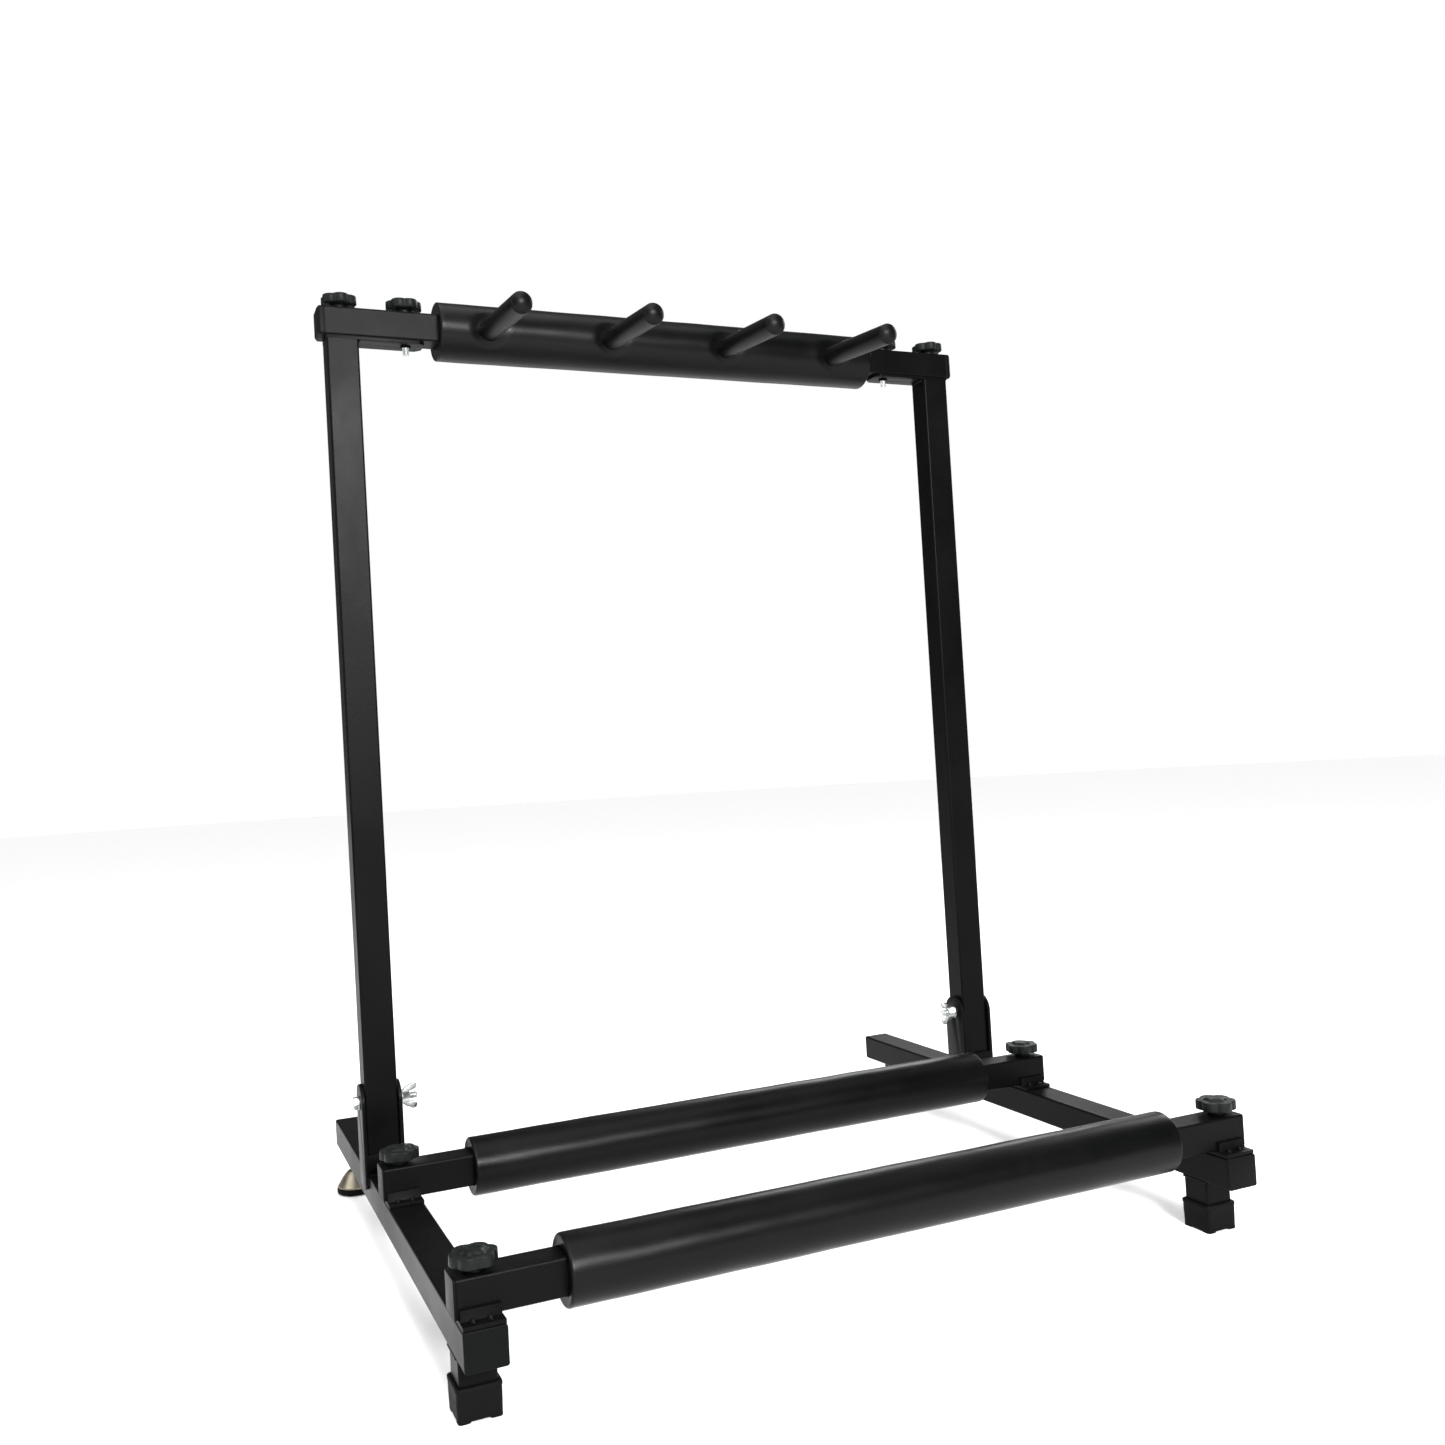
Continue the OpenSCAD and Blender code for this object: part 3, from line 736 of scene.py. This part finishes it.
def foam_form(diameter, length, step, seed):
    """A sleeve along +Z, from 0 to its length, around a square bar."""
    radius = diameter / 2
    body_r = radius - 0.25

    def uneven(height, amount):
        def ring(turn):
            spot = Vector((math.cos(turn), math.sin(turn), height / 45 + seed))
            return body_r + amount * noise.noise(spot * 1.3), height
        return ring

    def end(flip):
        place = (lambda z: length - z) if flip else (lambda z: z)
        rings = [square_ring(BAR / 2, place(DISH + 0.9))]
        rings.append(square_ring(BAR / 2 + 0.5, place(DISH)))
        for part in (0.25, 0.5, 0.75):
            across = BAR / 2 + (body_r - FOAM_EDGE - BAR / 2) * part
            corner = min(1.8 + (across - 2) * part**0.5, across - 0.01)
            rings.append(square_ring(across, place(DISH * (1 - part**2)), corner))
        for across, up in arc((body_r - FOAM_EDGE, FOAM_EDGE), FOAM_EDGE, -90, 0, 6):
            rings.append(round_ring(across, place(up)))
        return rings[::-1] if flip else rings

    start = FOAM_EDGE + 1
    count = round((length - 2 * start) / step)
    along = [start + (length - 2 * start) * i / count for i in range(count + 1)]
    middle_rings = [uneven(z, 0.28) for z in along]
    return grow(96, end(False) + middle_rings + end(True), hollow=True)


def foam_sleeve(node, body, step, seed):
    """The sleeve for a CAD node, standing along X in the node's box."""
    low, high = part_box(node)
    bm = foam_form((high.z - low.z) / MM, (high.x - low.x) / MM, step, seed)
    bm.transform(facing_x(Vector((low.x, middle(node).y, middle(node).z)), 1))
    return bm


for number, row in enumerate(("front", "rear")):
    bm = foam_sleeve(f"{row}_foam", "base", 7, 3.1 * number)
    piece = make_piece(f"{row}_foam_sleeve", bm, "black_foam", "base", f"{row}_foam", crease=70)
print("lower foam", [round(v, 1) for v in size("front_foam")])

# %% [markdown]
# The four pegs come out through holes in the top sleeve, and the foam is drawn in a
# little around each. So the top sleeve has closer rings, and its points near a peg's
# axis are moved towards the bar, less and less with distance.

# %% Foam around the pegs
PEG_DIP = math.radians(6)
PEG_LEN = 136.0
PEG_R = 9.5
peg_way = Vector((0, -math.cos(PEG_DIP), -math.sin(PEG_DIP)))
peg_at = [Vector((middle(f"peg_sleeve_{i}").x, top_bar_mid.y, top_bar_mid.z)) for i in range(1, 5)]

bm = foam_sleeve("top_foam", "upper_frame", 3, 7.7)
for vert in bm.verts:
    for root in peg_at:
        offset = vert.co - root
        reach = offset.dot(peg_way)
        away = (offset - reach * peg_way).length / MM
        if reach > BAR / 2 * MM and away < PEG_R + 9:
            near = 1 - max(0.0, away - PEG_R) / 9
            vert.co -= peg_way * (1.9 * MM * near * near * (3 - 2 * near))
piece = make_piece("top_foam_sleeve", bm, "black_foam", "upper_frame", "top_foam", crease=70)
print("pegs at x =", [round(p.x / MM) for p in peg_at])

# %% [markdown]
# A peg's sleeve is a closed rubbery tube over a steel rod. Its tip is a shallow dome
# with a small, tight edge, so the outline is one short arc and then one long one.

# %% Peg sleeves
TIP_EDGE = 2.0
TIP_SWEEP = 46
DOME_R = (PEG_R - TIP_EDGE + TIP_EDGE * math.cos(math.radians(TIP_SWEEP))) / math.cos(
    math.radians(TIP_SWEEP))
dome_mid = PEG_LEN - DOME_R
edge_top = dome_mid + DOME_R * math.sin(math.radians(TIP_SWEEP))
edge_mid = edge_top - TIP_EDGE * math.sin(math.radians(TIP_SWEEP))
peg_outline = [
    (0, 15), (PEG_R, 15), (PEG_R, 60), (PEG_R, 100),
    *arc((PEG_R - TIP_EDGE, edge_mid), TIP_EDGE, 0, TIP_SWEEP, 6),
    *arc((0, dome_mid), DOME_R, TIP_SWEEP, 90, 9)[1:-1], (0, PEG_LEN)]
for number, root in enumerate(peg_at, start=1):
    bm = lathe(peg_outline)
    aim = peg_way.to_track_quat("Z", "X").to_matrix().to_4x4()
    bm.transform(Matrix.Translation(root) @ aim)
    make_piece(
        f"peg_sleeve_{number}_rubber", bm, "peg_sleeve", "upper_frame", f"peg_sleeve_{number}")
print("peg tips", round(PEG_LEN, 1), "mm from the bar")

# %% [markdown]
# The tubes end in plastic plugs. Those of the base and the lower bars are nearly flush;
# those of the top bar are thicker square caps with a bevel all round the end, which is
# a box whose end face is extruded and drawn together a little.

# %% Flush plugs
for side, way in SIDES.items():
    for end, out in (("front", -1), ("rear", 1)):
        low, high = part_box(f"base_tube_{side}")
        tip = Vector((middle(f"base_tube_{side}").x, low.y if out < 0 else high.y,
                      middle(f"base_tube_{side}").z))
        bm = rounded_box((high.x - low.x) / MM, (high.z - low.z) / MM, 2, 1.8, 0.5)
        bm.transform(facing_y(tip, out))
        make_piece(f"base_plug_{side}_{end}", bm, "black_plastic", "base", "base_end_plugs")
        bar_low, bar_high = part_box(f"{end}_bar")
        tip = Vector((bar_high.x if way > 0 else bar_low.x,
                      middle(f"{end}_bar").y, middle(f"{end}_bar").z))
        bm = rounded_box(BAR, BAR, 2, 1.8, 0.6)
        bm.transform(facing_x(tip, way))
        make_piece(f"bar_plug_{side}_{end}", bm, "black_plastic", "base", "bar_end_plugs")
print("8 plugs")

# %% Caps of the top bar
CAP_RIM = 4.5
CAP_FACE = BAR - 4
for side, way in SIDES.items():
    low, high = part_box("top_bar")
    cap_low, cap_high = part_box(f"top_cap_{side}")
    cap_out = (cap_high.x - high.x if way > 0 else low.x - cap_low.x) / MM
    bm = rounded_box(BAR, BAR, CAP_RIM, 1.8, 0)
    face = upward(bm.faces)
    grown = bmesh.ops.extrude_face_region(bm, geom=[face])["geom"]
    bmesh.ops.delete(bm, geom=[face], context="FACES_ONLY")
    verts = [g for g in grown if isinstance(g, bmesh.types.BMVert)]
    bmesh.ops.translate(bm, vec=mm(0, 0, cap_out - CAP_RIM), verts=verts)
    bmesh.ops.scale(bm, vec=(CAP_FACE / BAR, CAP_FACE / BAR, 1), verts=verts)
    bmesh.ops.recalc_face_normals(bm, faces=bm.faces)
    soften_rims(bm, 0.4)
    bar_end = Vector((high.x if way > 0 else low.x, top_bar_mid.y, top_bar_mid.z))
    bm.transform(facing_x(bar_end, way))
    make_piece(f"top_cap_{side}_moulding", bm, "black_plastic", "upper_frame", f"top_cap_{side}")
print("caps stand out", round(cap_out, 1), "mm")

# %% [markdown]
# The rubber shoe under a front leg is a square cup. It is a little narrower at the
# bottom so that it leaves its mould, has a thicker lip at the mouth, and stands on a
# nub under each corner.

# %% Rubber shoes of the front legs
SHOE_H = size("leg_cap_left").z
SHOE_HALF = size("leg_cap_left").x / 2
LEG_HALF = size("front_leg_left").x / 2
NUB_H = 1.0
NUB = 8.5


def shoe_form():
    """A square cup whose wall is a little thicker at its mouth."""
    inside = LEG_HALF + 0.02
    wall = [
        (SHOE_HALF - 1.4, NUB_H, 2.6), (SHOE_HALF - 0.8, NUB_H + 0.4, 2.8),
        (SHOE_HALF - 0.6, NUB_H + 1.2, 3), (SHOE_HALF - 0.35, 12, 3),
        (SHOE_HALF - 0.3, SHOE_H - 3.4, 3), (SHOE_HALF - 0.05, SHOE_H - 2.9, 3),
        (SHOE_HALF, SHOE_H - 2.4, 3), (SHOE_HALF, SHOE_H - 0.9, 3),
        (SHOE_HALF - 0.25, SHOE_H - 0.3, 2.9), (SHOE_HALF - 0.8, SHOE_H, 2.7),
        (inside + 0.6, SHOE_H, 2), (inside, SHOE_H - 0.6, 1.8), (inside, 4, 1.8)]
    return grow(96, [square_ring(*ring) for ring in wall])


for side in SIDES:
    bm = shoe_form()
    out = SHOE_HALF - 0.7 - NUB / 2
    for x in (-out, out):
        for y in (-out, out):
            put(bm, rounded_box(NUB, NUB, NUB_H + 1.4, 2.4, 0.35), Matrix.Translation(mm(x, y, 0)))
    bm.transform(Matrix.Translation((middle(f"leg_cap_{side}").x, middle(f"leg_cap_{side}").y, 0)))
    make_piece(f"leg_cap_{side}_shoe", bm, "black_rubber", "base", f"leg_cap_{side}")
print("shoes", round(SHOE_H, 1), "mm tall")

# %% [markdown]
# The rear feet screw in and out to level the rack. Each is a pressed nickel cup on a
# rubber ring, with a threaded stud. The cup's side bulges a little on its way from the
# wide rim to the narrow neck.

# %% Levelling feet
CUP_R = 17.5
NECK_R = 7.5
CUP_H = 15.0
FOOT_STUD_R = 4.0


def cup_outline():
    """The cup from the middle of its sole, up its side and back to the middle."""
    sweep = [i / 12 for i in range(13)]
    side = [(NECK_R + 0.5 + (CUP_R - NECK_R - 1.1) * (1 - t)**0.8, 2.2 + (CUP_H - 3.0) * t)
            for t in sweep]
    return [(0, 0), (CUP_R - 0.4, 0), (CUP_R, 0.4), (CUP_R, 1.4), (CUP_R - 0.25, 1.9), *side,
            (NECK_R + 0.25, CUP_H - 0.3), (NECK_R - 0.4, CUP_H), (0, CUP_H)]


for side in SIDES:
    low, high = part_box(f"foot_{side}")
    place = Matrix.Translation((middle(f"foot_{side}").x, middle(f"foot_{side}").y, low.z))
    bm = lathe(cup_outline(), 96)
    stud_top = (high.z - low.z) / MM
    stud = grow(36, threaded(FOOT_STUD_R, 1.25, stud_top - CUP_H + 1))
    flip = Matrix.Rotation(math.pi, 4, "X")
    put(bm, stud, Matrix.Translation(mm(0, 0, stud_top)) @ flip)
    bm.transform(place)
    make_piece(f"foot_{side}_cup", bm, "foot_nickel", f"foot_{side}", f"foot_{side}", crease=50)

    pad_r = size(f"foot_pad_{side}").x / 2
    pad = lathe([
        (0, 0), (15.4, 0), (16.4, 0.3), *arc((pad_r - 1.6, 2.4), 1.6, -50, 0), (pad_r, 5.2),
        (pad_r - 0.25, 5.75), (pad_r - 0.7, 6), (CUP_R - 0.3, 6.0), (0, 6.0)], 96)
    pad.transform(Matrix.Translation((place.translation.x, place.translation.y, 0)))
    make_piece(f"foot_pad_{side}_ring", pad, "black_rubber", f"foot_{side}", f"foot_pad_{side}")
print("feet:", round(stud_top, 1), "mm with their studs")

# %% [markdown]
# Two blind rivets hold each saddle plate to the base tube, ahead of the bar. Such a
# rivet has a black domed flange, and the broken end of its steel pin shines in the
# middle, so it takes two outlines in two finishes.

# %% Rivets
RIVET_R = 2.7
RIVET_DX = 5.5
RIVET_Y = 5.0
PIN_R = 1.2
flanges, pins = bmesh.new(), bmesh.new()
for side in SIDES:
    for row in ("front", "rear"):
        bar_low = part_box(f"{row}_bar")[0]
        for dx in (-RIVET_DX, RIVET_DX):
            place = Matrix.Translation((
                middle(f"saddle_{row}_{side}").x + dx * MM, bar_low.y - RIVET_Y * MM, bar_low.z))
            flange = ring_lathe([
                (PIN_R, -0.2), (RIVET_R, -0.2), (RIVET_R, 0.25), (RIVET_R - 0.12, 0.45),
                *arc((0.4, -0.6), 2.35, 27, 62, 4), (PIN_R, 1.42), (PIN_R, 1.2)], 32)
            put(flanges, flange, place)
            pin = lathe([
                (0, 0.2), (PIN_R - 0.02, 0.2), (PIN_R - 0.02, 1.15), (0.9, 1.32), (0, 1.4)], 24)
            put(pins, pin, place)
make_piece("rivet_flanges", flanges, "black_steel", "base", "saddle_rivets")
make_piece("rivet_pins", pins, "zinc_steel", "base", "saddle_rivets")
print("8 rivets")

# %% [markdown]
# A pale floor and plain soft light. A bright one stands in front, above the lower
# sleeves, and draws a soft band along each round sleeve and fades down the uprights.
# A weaker one is higher up, and the widest stands on the left and brightens the left
# faces of the tubes. Two more, on the right and behind, keep the other sides readable.
# Daylight from above keeps the floor white.

# %% Floor and lights
bm = bmesh.new()
bmesh.ops.create_circle(bm, cap_ends=True, radius=14, segments=96)
floor_mesh = bpy.data.meshes.new("floor")
bm.to_mesh(floor_mesh)
bm.free()
floor = bpy.data.objects.new("floor", floor_mesh)
bpy.context.scene.collection.objects.link(floor)
paper = bpy.data.materials.new("paper")
paper.use_nodes = True
paper.node_tree.nodes["Principled BSDF"].inputs["Base Color"].default_value = (0.9, 0.9, 0.9, 1)
paper.node_tree.nodes["Principled BSDF"].inputs["Roughness"].default_value = 0.9
floor_mesh.materials.append(paper)


def soft_light(name, place, target, width, height, power):
    data = bpy.data.lights.new(name, "AREA")
    data.shape = "RECTANGLE"
    data.size = width
    data.size_y = height
    data.energy = power
    light = bpy.data.objects.new(name, data)
    light.location = place
    light.rotation_euler = (Vector(target) - Vector(place)).to_track_quat("-Z", "Y").to_euler()
    bpy.context.scene.collection.objects.link(light)


soft_light("front_softbox", (-0.05, -2.6, 1.35), (-0.1, 0, 0.35), 0.9, 0.45, 150)
soft_light("high_softbox", (-0.5, -2.2, 2.9), (0, 0, 0.6), 1.2, 0.7, 30)
soft_light("left_softbox", (-2.4, -0.3, 1.4), (0, 0, 0.5), 1.2, 1.6, 24)
soft_light("right_softbox", (2.4, 0.9, 1.5), (0, 0, 0.5), 1.0, 1.4, 30)
soft_light("rear_softbox", (1.8, 2.5, 1.7), (0, 0, 0.5), 1.2, 0.8, 25)

# %% Daylight from above
daylight = bpy.data.objects.new("daylight", bpy.data.lights.new("daylight", "SUN"))
daylight.data.energy = 3.3
daylight.data.angle = math.radians(70)
daylight.rotation_euler = (math.radians(8), math.radians(-12), 0)
bpy.context.scene.collection.objects.link(daylight)

# %% [markdown]
# The room is darker in front of the rack than behind it, which is what keeps the front
# faces nearly black while the tops and the sides, seen at a slant, pick up a grey
# sheen. The world's colour follows its direction for that. What the camera sees of it
# past the floor is plain white.

# %% Room
world = bpy.data.worlds.new("studio")
bpy.context.scene.world = world
world.use_nodes = True
room = world.node_tree
sky = room.nodes["Background"]
sky.inputs["Color"].default_value = (1, 1, 1, 1)
direction = add_node(room, "ShaderNodeTexCoord")
split = add_node(room, "ShaderNodeSeparateXYZ")
behind = add_node(room, "ShaderNodeMapRange", {
    "From Min": -0.4, "From Max": 0.7, "To Min": 0.02, "To Max": 0.18})
rays = add_node(room, "ShaderNodeLightPath")
seen = add_node(room, "ShaderNodeMix", {"B": 1.0})
room.links.new(direction.outputs["Generated"], split.inputs["Vector"])
room.links.new(split.outputs["Y"], behind.inputs["Value"])
room.links.new(rays.outputs["Is Camera Ray"], seen.inputs["Factor"])
room.links.new(behind.outputs["Result"], seen.inputs["A"])
room.links.new(seen.outputs["Result"], sky.inputs["Strength"])
bpy.context.scene.view_settings.view_transform = "Standard"
print("lights:", len(bpy.data.lights))
